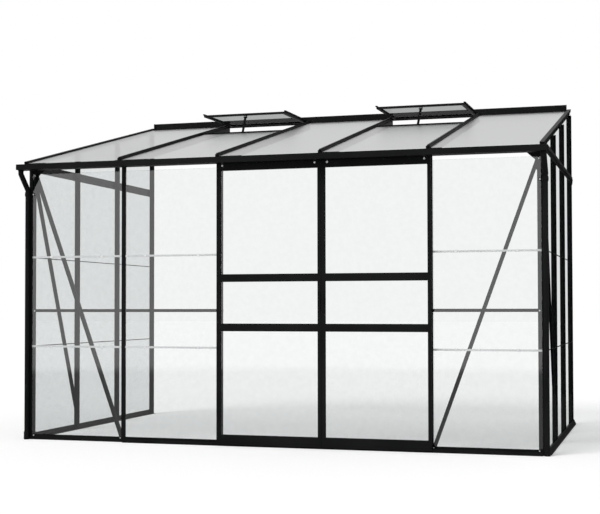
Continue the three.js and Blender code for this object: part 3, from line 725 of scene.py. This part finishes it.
for number in range(1, bays + 1):
    low, high = corners_of(f"roof_glass_{number}")
    front = low.y + seal_back
    under = low.z + (front - low.y) * tan(roof_tilt)
    shape = bmesh.new()
    bar(shape, (low.x + seal_end, front, shelf_top + seal_gap),
        (high.x - seal_end, front + seal_deep, under - seal_gap), seal_edge)
    finished(f"roof_foot_seal_{number}", shape, rubber)
    if number % 2:
        shape = bmesh.new()
        start = roof_length - top_seal_gap - top_seal.y
        bar(shape, (low.x + top_seal_end, start, seal_gap - glass_drop),
            (high.x - top_seal_end, start + top_seal.y, seal_gap - glass_drop + top_seal.z),
            top_seal_edge, roof_place)
        finished(f"roof_top_seal_{number}", shape, rubber)
print("roof length along the slope:", round(roof_length, 3), "m")

# %% [markdown]
# ## A screw
# A screw shows a round head with a recess for the driver. A plain disc would do from afar, but from near by
# the recess is what tells a screw from a rivet. The head is a short cone, and its top face is inset twice:
# once level, for the rim, and once sunk, for the recess. It is made upright and then turned to face outwards.

# %% A screw
# Shares of the head's size, and the last one of its height
screw_top_wide = 0.72
recess_rim, recess_slope = 0.35, 0.05
recess_deep = 0.5


def facing(place, direction):
    """The place and turn of a piece whose own Z looks along a direction."""
    turn = Vector(direction).to_track_quat("Z", "Y").to_matrix().to_4x4()
    return Matrix.Translation(place) @ turn


def screw(shape, place, direction, size=0.004, height=0.0024):
    """A round head with a recess for the driver; a low height makes it a flush screw."""
    spot = facing(place, direction)
    made = bmesh.ops.create_cone(
        shape, cap_ends=True, segments=10, radius1=size, radius2=size * screw_top_wide, depth=height,
        matrix=spot @ Matrix.Translation((0, 0, height / 2)),
    )
    outward = spot.to_3x3() @ Vector((0, 0, 1))
    faces = {face for vert in made["verts"] for face in vert.link_faces if len(face.verts) > 4}
    top = max(faces, key=lambda face: face.calc_center_median().dot(outward))
    bmesh.ops.inset_region(shape, faces=[top], thickness=size * recess_rim, depth=0)
    bmesh.ops.inset_region(shape, faces=[top], thickness=size * recess_slope, depth=-height * recess_deep)


print("recess:", recess_deep, "of a head's height")

# %% [markdown]
# ## Ends of the rafters and of the wall plate
# A sawn end of a hollow bar lets rain in and cuts fingers, so it gets a cap. Each rafter has a thin plate
# on its foot, held by one screw, with a tongue over the rib of the inner ones. The screw is made before the
# plate, because a round shape that follows a bevel can come out with its faces cut another way each run.
# The wall plate has a cap at each end and screws along its face, a pair beside each bar.

# %% Cap the rafters and the wall plate
bar_lines = [round(number * bay_width - half_front, 3) for number in range(bays + 1)]
foot_cap = Vector((0.024, 0.0015, 0.0168))
rib_end = Vector((0.01, 0.0015, 0.007))
plate_cap = 0.0015
plate_screw_z = 2.181
plate_screw_side = 0.06
plate_screw = 0.0045
foot_screw = 0.003

for number, line in enumerate(bar_lines, start=1):
    shape = bmesh.new()
    spot = roof_place @ Vector((line, -foot_cap.y, -foot_cap.z / 2))
    screw(shape, spot, roof_place.to_3x3() @ Vector((0, -1, 0)), foot_screw)
    bar(shape, (line - foot_cap.x / 2, -foot_cap.y, -foot_cap.z), (line + foot_cap.x / 2, 0, 0),
        fine_break, roof_place)
    if 1 < number < len(bar_lines):
        bar(shape, (line - rib_end.x / 2, -rib_end.y, -rib_end.z / 2), (line + rib_end.x / 2, 0, rib_end.z),
            fine_break, roof_place)
    finished(f"rafter_foot_cap_{number}", shape, black_coat)

for side, edge in (("left", plate_low.x), ("right", plate_high.x)):
    outward = -1 if side == "left" else 1
    shape = bmesh.new()
    sides = sorted((edge, edge + outward * plate_cap))
    bar(shape, (sides[0], plate_low.y, plate_low.z), (sides[1], plate_high.y, plate_high.z), fine_break)
    finished(f"{side}_wall_plate_cap", shape, black_coat)

shape = bmesh.new()
for line in bar_lines:
    for offset in (-plate_screw_side, plate_screw_side):
        if plate_low.x < line + offset < plate_high.x:
            screw(shape, (line + offset, plate_low.y, plate_screw_z), (0, -1, 0), plate_screw)
finished("wall_plate_screws", shape, black_coat)
print("rafter caps:", len(bar_lines))

# %% [markdown]
# ## A ring
# Sleeves, rims and straps all go round something. A torus has a round section, and a strap is flat, so a
# small loop of edges is stretched to the section that is wanted and spun once round. The last step is
# merged with the first, which closes the ring.

# %% A ring
full_turn = 2 * pi


def ring(shape, spot, radius, half_wide, half_high, corners=8, steps=20):
    """A closed ring round the spot's own Z: a small loop of edges, spun once round."""
    verts = bmesh.ops.create_circle(shape, segments=corners, radius=1)["verts"]
    bmesh.ops.rotate(shape, matrix=Matrix.Rotation(pi / 2, 3, "X"), verts=verts)
    bmesh.ops.scale(shape, vec=(half_wide, 1, half_high), verts=verts)
    bmesh.ops.translate(shape, vec=(radius, 0, 0), verts=verts)
    bmesh.ops.transform(shape, matrix=spot, verts=verts)
    edges = list({edge for vert in verts for edge in vert.link_edges})
    bmesh.ops.spin(
        shape, geom=verts + edges, cent=spot.translation, axis=spot.to_3x3() @ Vector((0, 0, 1)),
        angle=full_turn, steps=steps, use_merge=True,
    )


print("a ring is spun by", round(full_turn, 4), "radians")

# %% [markdown]
# ## The gutter
# The gutter's front lip is rolled into a bead, which stiffens it and is kind to hands and ladders. Short
# sleeves cover the joins of the bead. The gutter's ends are closed by pressed caps with a rim: a plate whose
# outer face is inset twice, once level and once sunk.

# %% Finish the gutter
lip_top = 1.6685
bead_radius = 0.0015
bead_in = 0.0022
bead_sunk = 0.001
sleeve_half = 0.012
sleeve_wall = 0.0005
gutter_cap_foot = 1.636
gutter_back = -0.9425
rim_thickness = 0.0014
rim_width = 0.006
rim_slope = 0.0006
rim_sunk = 0.6

shape = bmesh.new()
spot = Vector((0, gutter_low.y + bead_in, lip_top - bead_sunk))
bmesh.ops.create_cone(
    shape, cap_ends=True, segments=10, radius1=bead_radius, radius2=bead_radius,
    depth=gutter_high.x - gutter_low.x, matrix=facing(spot, (1, 0, 0)),
)
for line in bar_lines[1:-1:2]:
    sleeve_place = facing((line, spot.y, spot.z), (1, 0, 0))
    ring(shape, sleeve_place, bead_radius, sleeve_wall, sleeve_half, corners=6, steps=12)
finished("gutter_lip_bead", shape, black_coat)

for side, edge in (("left", gutter_low.x), ("right", gutter_high.x)):
    outward = -1 if side == "left" else 1
    sides = sorted((edge, edge + outward * rim_thickness))
    shape = bmesh.new()
    bar(shape, (sides[0], gutter_low.y, gutter_cap_foot), (sides[1], gutter_back, lip_top), fine_break)
    shape.normal_update()
    shape.faces.ensure_lookup_table()
    outer = max(shape.faces, key=lambda face: face.calc_center_median().x * outward)
    bmesh.ops.inset_region(shape, faces=[outer], thickness=rim_width, depth=0)
    bmesh.ops.inset_region(shape, faces=[outer], thickness=rim_slope, depth=-rim_thickness * rim_sunk)
    finished(f"{side}_gutter_end_cap", shape, black_coat)
print("gutter:", round(gutter_high.x - gutter_low.x, 3), "m long")

# %% [markdown]
# ## Straps on the downpipes
# A pipe would swing and rattle if it hung from the gutter alone. A rolled rim edges its outlet and its
# shoe, and a strap goes round it at the collar, with a flat tongue and one screw to the corner post. The
# screw's head is low, so that the brush of an open door clears it.

# %% Strap the downpipes
shoe_radius = 0.017
shoe_rim_z = 0.0455
shoe_rim_radius = 0.0162
shoe_rim = (0.0018, 0.0022)
bend_radius = 0.016
outlet_rim_z = 1.6325
outlet_rim = (0.0022, 0.003)
strap_radius = 0.0162
strap_wall = 0.0011
strap_low = 1.488
strap_high = 1.504
tongue_start = 0.012
strap_reach = 0.026
strap_screw_reach = 0.031
strap_screw = 0.0045
post_front = -0.8835
strap_thickness = 0.0022
hair = 0.0002  # the gap between a small piece and what it lies on
low_head = 0.0007

for side in ("left", "right"):
    inward = 1 if side == "left" else -1
    low, high = corners_of(f"{side}_downpipe")
    centre_x = (low.x + high.x) / 2
    pipe_y = high.y - shoe_radius
    outlet_y = low.y + bend_radius
    shape = bmesh.new()
    ring(shape, Matrix.Translation((centre_x, outlet_y, outlet_rim_z)), bend_radius, *outlet_rim)
    ring(shape, Matrix.Translation((centre_x, pipe_y, shoe_rim_z)), shoe_rim_radius, *shoe_rim)
    middle = (strap_low + strap_high) / 2
    half = (strap_high - strap_low) / 2
    ring(shape, Matrix.Translation((centre_x, pipe_y, middle)), strap_radius, strap_wall, half)
    tongue = sorted((centre_x + inward * tongue_start, centre_x + inward * (tongue_start + strap_reach)))
    bar(shape, (tongue[0], post_front - strap_thickness - hair, strap_low),
        (tongue[1], post_front - hair, strap_high))
    finished(f"{side}_pipe_fittings", shape, black_coat)
    shape = bmesh.new()
    head = (centre_x + inward * strap_screw_reach, post_front - strap_thickness - hair, middle)
    screw(shape, head, (0, -1, 0), strap_screw, low_head)
    finished(f"{side}_pipe_bolt", shape, zinc)
print("downpipes strapped at", strap_low, "to", strap_high, "m")

# %% [markdown]
# ## A bolt
# A bolt shows its washer and a six-sided head on it. A pressed head is never sharp at its rim, so both are
# cones that narrow a little outwards, the head with six sides and the washer with twelve.

# %% A bolt
# Shares of the bolt's size
washer_high = 0.3
washer_wide, washer_top_wide = 1.45, 1.3
head_high = 0.8
head_top_wide = 0.85


def bolt(shape, place, direction, size=0.0045):
    """A washer and a six-sided head, seen from where it faces."""
    spot = facing(place, direction)
    thin = size * washer_high
    bmesh.ops.create_cone(
        shape, cap_ends=True, segments=12, radius1=size * washer_wide, radius2=size * washer_top_wide,
        depth=thin, matrix=spot @ Matrix.Translation((0, 0, thin / 2)),
    )
    bmesh.ops.create_cone(
        shape, cap_ends=True, segments=6, radius1=size, radius2=size * head_top_wide,
        depth=size * head_high, matrix=spot @ Matrix.Translation((0, 0, thin + size * head_high / 2)),
    )


print("washer:", washer_wide, "times as wide as the head")

# %% [markdown]
# ## Bolts of the frame
# Bolts and screws hold the bars together. The ones that show as bright dots at the front are zinc: flush
# screws in the flanges of the corner posts, where the gusset and the mid rail end, and screws in the sill.
# The ones outside, where the eaves rails and the gable sills cross the gable bars, are black like the bars.

# %% Bolt the frame together
post_flange_face = -0.8774
flange_screw_x = 1.5255
flange_screw_heights = (1.611, 0.782)
flange_screw = 0.0045
flush = 0.0002
gable_lines = (-0.2505, 0.3695, 0.9895)
gable_bolt = 0.004
eaves_bolt_z = 1.654
eaves_face = 1.5683
sill_screw_z = 0.025
sill_screw_places = (1.521, 0.945)
sill_screw = 0.0042
gable_sill_face = 1.5678
sill_face = -0.8895

for side in ("left", "right"):
    outward = -1 if side == "left" else 1
    shape = bmesh.new()
    for height in flange_screw_heights:
        screw(shape, (outward * flange_screw_x, post_flange_face, height), (0, -1, 0), flange_screw, flush)
    for place in sill_screw_places:
        screw(shape, (outward * place, sill_face, sill_screw_z), (0, -1, 0), sill_screw)
    finished(f"{side}_frame_screws", shape, zinc)
    shape = bmesh.new()
    for line in gable_lines:
        bolt(shape, (outward * eaves_face, line, eaves_bolt_z), (outward, 0, 0), gable_bolt)
        screw(shape, (outward * gable_sill_face, line, sill_screw_z), (outward, 0, 0), gable_bolt)
    finished(f"{side}_gable_bolts", shape, black_coat)
print("bolts on the eaves rails at y", gable_lines)

# %% [markdown]
# ## A bead round a pane
# The panes of the doors and of the vents sit in rubber, which shows as a thin bead all round. Four bars
# would leave a seam in each corner. Instead one sheet is inset by the width of the bead, its middle is taken
# out, and the rim that is left is drawn out to the depth.

# %% A bead round a pane
bead_width = 0.0015


def bead_frame(shape, field_x, field_z, face, depth):
    """A thin frame of rubber round a field: a sheet with its middle taken out, then made thick."""
    verts = bmesh.ops.create_grid(shape, x_segments=1, y_segments=1, size=0.5)["verts"]
    bmesh.ops.scale(shape, vec=(field_x[1] - field_x[0], field_z[1] - field_z[0], 1), verts=verts)
    bmesh.ops.rotate(shape, matrix=Matrix.Rotation(pi / 2, 3, "X"), verts=verts)
    middle = Vector((sum(field_x) / 2, face, sum(field_z) / 2))
    bmesh.ops.translate(shape, vec=middle, verts=verts)
    sheet_face = verts[0].link_faces[0]
    rim = bmesh.ops.inset_region(
        shape, faces=[sheet_face], thickness=bead_width, depth=0, use_boundary=True,
    )["faces"]
    bmesh.ops.delete(shape, geom=[sheet_face], context="FACES_ONLY")
    grown = bmesh.ops.extrude_face_region(shape, geom=rim, use_keep_orig=True)["geom"]
    moved = [item for item in grown if isinstance(item, bmesh.types.BMVert)]
    bmesh.ops.translate(shape, vec=(0, -depth, 0), verts=moved)


print("bead:", bead_width, "m wide")

# %% [markdown]
# ## Doors
# A sliding door shows three fields of glass, each with its bead. The rails are screwed to the stiles from
# the front with small black screws, two at each joint, and one bright bolt under each wheel holds its
# hanger. A brush strip along the outer stile keeps the wind out and still lets the door run.

# %% Dress the doors
door_stile = 0.02
door_fields = ((0.0655, 0.6648), (0.7078, 0.9508), (0.9938, 1.598))
door_glass_face = -0.9125
door_front = -0.9265
bead_depth = 0.003
screw_heights = (0.025, 0.056, 0.669, 0.7005, 0.956, 0.987, 1.602, 1.634)
door_screw = 0.0022
hanger_bolt_z = 1.627
hanger_bolt = 0.0045
pile_inset = 0.004
pile_width = 0.005
pile_root = -0.9015
pile_reach = -0.887
pile_low, pile_high = 0.014, 1.634

for side in ("left", "right"):
    body = f"{side}_door"
    low, high = corners_of(f"{side}_door_frame")
    shape = bmesh.new()
    for field in door_fields:
        pane = (low.x + door_stile, high.x - door_stile)
        bead_frame(shape, pane, field, door_glass_face - hair, bead_depth)
    finished(f"{side}_door_beads", shape, rubber, body)

    shape = bmesh.new()
    for middle in (low.x + door_stile / 2, high.x - door_stile / 2):
        for height in screw_heights:
            screw(shape, (middle, door_front, height), (0, -1, 0), door_screw)
    finished(f"{side}_door_screws", shape, black_coat, body)
    shape = bmesh.new()
    for number in (1, 2):
        wheel_low, wheel_high = corners_of(f"{side}_door_wheel_{number}")
        bolt(shape, ((wheel_low.x + wheel_high.x) / 2, door_front, hanger_bolt_z), (0, -1, 0), hanger_bolt)
    finished(f"{side}_door_hanger_bolts", shape, zinc, body)

    edge = low.x + pile_inset if side == "left" else high.x - pile_inset - pile_width
    shape = bmesh.new()
    bar(shape, (edge, pile_root, pile_low), (edge + pile_width, pile_reach, pile_high), seal_edge)
    finished(f"{side}_door_brush", shape, brush_pile, body)
print("door fields:", len(door_fields), "on each leaf")

# %% [markdown]
# ## Roof vents
# A vent is a small frame with its own pane, bedded in rubber above and below. It turns on a rolled nose in
# the wall plate, and caps close the two ends of that nose. The vents stand open in the picture, so their
# pieces are made in the vent's own measure, from its hinge, and then turned by the slope that is left. The
# screws under the frame are flush, because a closed vent lies right down on its sill.

# %% Dress the vents
vent_bays = (2, 4)
vent_opening = 12.66
vent_slope = (roof_degrees - vent_opening) * pi / 180
vent_span = (0.013, 0.607)
vent_free = -0.56
vent_back = -0.009
vent_bar = 0.02
vent_glass_top = 0.002
vent_glass_under = -0.001
vent_bead_depth = 0.0025
vent_under = -0.007
vent_screw = 0.0032
nose_cap_radius = 0.0056
nose_cap_taper = 0.8
nose_cap_length = 0.002
pin_place = Vector((0, -0.528, -0.015))
pin_end = 0.0105
pin_bolt = 0.0034
hinges = {joint["name"]: joint for joint in frame["record"]["behaviour"]["joints"]}

for number in vent_bays:
    body = f"vent_{number}"
    hinge = Vector(hinges[f"vent_{number}_hinge"]["pos_m"])
    line = bar_lines[number - 1]
    place = Matrix.Translation((line, hinge.y, hinge.z)) @ Matrix.Rotation(vent_slope, 4, "X")
    field = (vent_span[0] + vent_bar, vent_span[1] - vent_bar)
    run = (vent_free + vent_bar, vent_back - vent_bar)
    shape = bmesh.new()
    level = Matrix.Rotation(-pi / 2, 4, "X")
    bead_frame(shape, field, run, -vent_glass_top - hair, vent_bead_depth)
    bead_frame(shape, field, run, -vent_glass_under + vent_bead_depth + hair, vent_bead_depth)
    bmesh.ops.transform(shape, matrix=place @ level, verts=shape.verts)
    finished(f"vent_{number}_beads", shape, rubber, body)

    shape = bmesh.new()
    for end, outward in ((vent_span[0], -1), (vent_span[1], 1)):
        spot = place @ Vector((end + outward * nose_cap_length / 2, 0, 0))
        bmesh.ops.create_cone(
            shape, cap_ends=True, segments=12, radius1=nose_cap_radius,
            radius2=nose_cap_radius * nose_cap_taper, depth=nose_cap_length,
            matrix=facing(spot, (outward, 0, 0)),
        )
    pin = place @ (pin_place + Vector((bay_width / 2 - pin_end, 0, 0)))
    bolt(shape, pin, (-1, 0, 0), pin_bolt)
    finished(f"vent_{number}_caps", shape, black_coat, body)

    shape = bmesh.new()
    for across in (vent_span[0] + vent_bar / 2, vent_span[1] - vent_bar / 2):
        for run_y in (vent_free + vent_bar / 2, vent_back - vent_bar / 2):
            under = place @ Vector((across, run_y, vent_under))
            screw(shape, under, place.to_3x3() @ Vector((0, 0, -1)), vent_screw, flush)
    finished(f"vent_{number}_screws", shape, zinc, body)
print("vents dressed:", len(vent_bays))

# %% [markdown]
# ## A bead along the front sill
# The sill's upper edge is rolled over, which takes away the sharp edge and catches a thin line of light. A
# thin rod stands for the roll, with a short sleeve at each bar.

# %% Roll the sill's edge
sill_top = 0.0325
sill_bead = 0.0014
sill_bead_half = 1.545
sill_sleeve_wall = 0.0004
sill_sleeve_half = 0.01

shape = bmesh.new()
spot = Vector((0, sill_face + sill_bead, sill_top - sill_bead))
length = 2 * sill_bead_half
bmesh.ops.create_cone(
    shape, cap_ends=True, segments=8, radius1=sill_bead, radius2=sill_bead, depth=length,
    matrix=facing(spot, (1, 0, 0)),
)
for line in bar_lines[1:-1]:
    sleeve_place = facing((line, spot.y, spot.z), (1, 0, 0))
    ring(shape, sleeve_place, sill_bead, sill_sleeve_wall, sill_sleeve_half, corners=6, steps=10)
finished("front_sill_bead", shape, black_coat)
print("sill bead:", length, "m")
